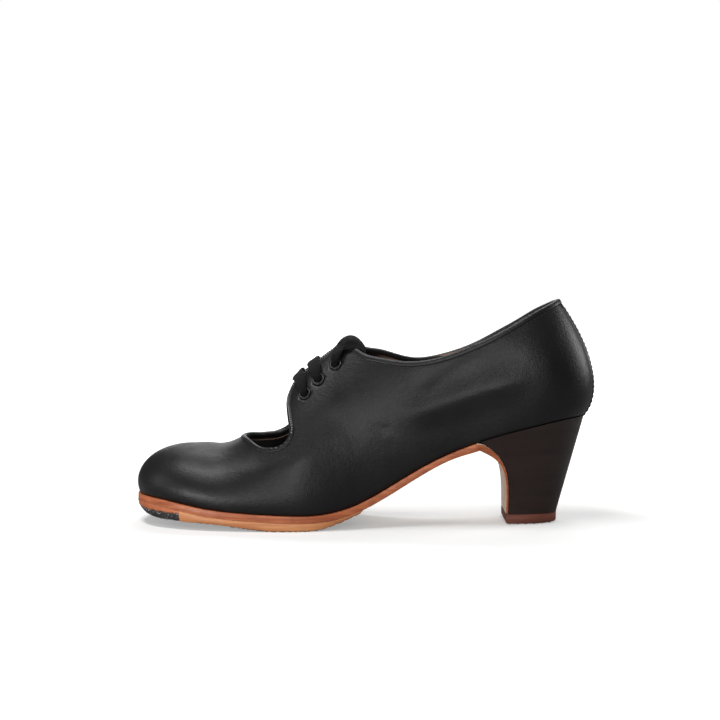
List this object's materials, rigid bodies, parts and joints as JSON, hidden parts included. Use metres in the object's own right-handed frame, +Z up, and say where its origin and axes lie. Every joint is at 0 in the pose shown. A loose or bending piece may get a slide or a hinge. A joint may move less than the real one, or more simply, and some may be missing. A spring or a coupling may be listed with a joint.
{
  "type": "lace-up heeled dance shoe",
  "caption": "Left lace-up flamenco shoe in black leather with an open vamp, a flared wooden heel, a nailed toe and heel and a layered leather sole.",
  "frame": {"origin": "on the floor, under the middle of the shoe's bounding box", "axes": "+X from the toe to the heel, +Y towards the inner side of the foot, +Z up"},
  "size_m": [0.243, 0.082, 0.1181],
  "materials": {
    "black_calf": "smooth satin calf",
    "tan_lining": "matt lining leather",
    "sole_leather": "polished sole edge",
    "pale_sole_leather": "worn sole leather",
    "dark_wood": "dark stained and waxed",
    "lift_leather": "reddish brown lift",
    "nail_steel": "worn nail heads",
    "black_enamel": "black enamel",
    "black_cotton": "flat woven lace"
  },
  "bodies": {
    "root": {"upper": "black_calf", "insole": "tan_lining", "outsole": "sole_leather", "half_sole": "pale_sole_leather", "toe_nails": "nail_steel", "heel_block": "dark_wood", "heel_lift": "lift_leather", "heel_nails": "nail_steel", "eyelet_outer_1": "black_enamel", "eyelet_outer_2": "black_enamel", "eyelet_outer_3": "black_enamel", "eyelet_inner_1": "black_enamel", "eyelet_inner_2": "black_enamel", "eyelet_inner_3": "black_enamel", "lace_bar_1": "black_cotton", "lace_bar_2": "black_cotton", "lace_end_outer": "black_cotton", "lace_end_inner": "black_cotton", "lace_knot": "black_cotton"}
  },
  "joints": []
}
